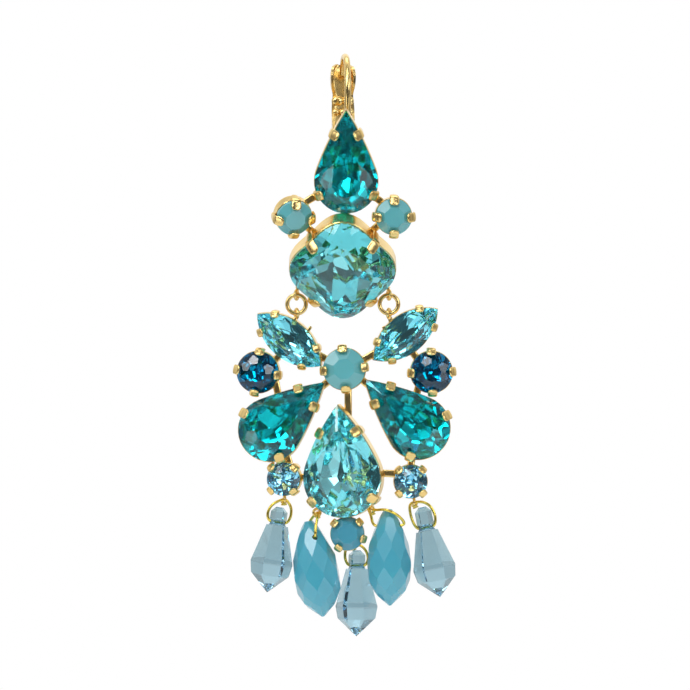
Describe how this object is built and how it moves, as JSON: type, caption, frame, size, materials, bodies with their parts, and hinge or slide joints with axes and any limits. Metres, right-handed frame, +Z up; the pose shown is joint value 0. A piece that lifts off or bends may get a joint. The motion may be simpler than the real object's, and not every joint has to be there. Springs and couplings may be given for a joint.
{
  "type": "sleeper earring",
  "caption": "Chandelier earring on a lever-back sleeper hook: faceted crystals in teal, blue and turquoise in gilt claw settings, and a hinged pendant that carries a fringe of faceted drops.",
  "frame": {"origin": "underside of the hook's crown, where its wire rests in the ear lobe", "axes": "+Z up, the earring hanging down from the origin; -Y out of the stones' faces; +X to the right as seen from the front"},
  "size_m": [0.0285, 0.0126, 0.0737],
  "materials": {
    "gilt": "polished gilt plating",
    "gold_wire": "bright yellow-gold wire",
    "teal_crystal": "faceted, foiled behind",
    "aqua_crystal": "faceted, foiled behind",
    "sky_crystal": "faceted, foiled behind",
    "navy_crystal": "faceted, foiled behind",
    "turquoise_stone": "opaque, polished facets",
    "clear_crystal": "clear, faceted",
    "turquoise_crystal": "opaque satin, faceted"
  },
  "bodies": {
    "upper": {"upper_frame": "gilt", "pivot_pin": "gilt", "top_pear_stone": "teal_crystal", "top_round_left_stone": "turquoise_stone", "top_round_right_stone": "turquoise_stone", "cushion_stone": "aqua_crystal"},
    "lever": {"lever": "gilt"},
    "pendant": {"lower_frame": "gilt", "jump_ring_left": "gilt", "jump_ring_right": "gilt", "clear_drop_left_wire": "gold_wire", "clear_drop_centre_wire": "gold_wire", "clear_drop_right_wire": "gold_wire", "turquoise_drop_left_wire": "gold_wire", "turquoise_drop_right_wire": "gold_wire", "pear_left_stone": "teal_crystal", "pear_right_stone": "teal_crystal", "navette_left_stone": "aqua_crystal", "navette_right_stone": "aqua_crystal", "centre_pear_stone": "aqua_crystal", "small_round_left_stone": "sky_crystal", "small_round_right_stone": "sky_crystal", "dark_round_left_stone": "navy_crystal", "dark_round_right_stone": "navy_crystal", "centre_round_stone": "turquoise_stone", "bottom_round_stone": "turquoise_stone", "clear_drop_left": "clear_crystal", "clear_drop_centre": "clear_crystal", "clear_drop_right": "clear_crystal", "turquoise_drop_left": "turquoise_crystal", "turquoise_drop_right": "turquoise_crystal"}
  },
  "joints": [
    {"name": "lever_hinge", "type": "hinge", "parent": "upper", "child": "lever", "pos_m": [-0.00018, 0.00209, -0.0117], "axis": [-0.9962, -0.0872, 0], "range_deg": [0, 60]},
    {"name": "pendant_swing", "type": "hinge", "parent": "upper", "child": "pendant", "pos_m": [0, -0.00135, -0.02972], "axis": [1, 0, 0], "range_deg": [-25, 60]}
  ]
}
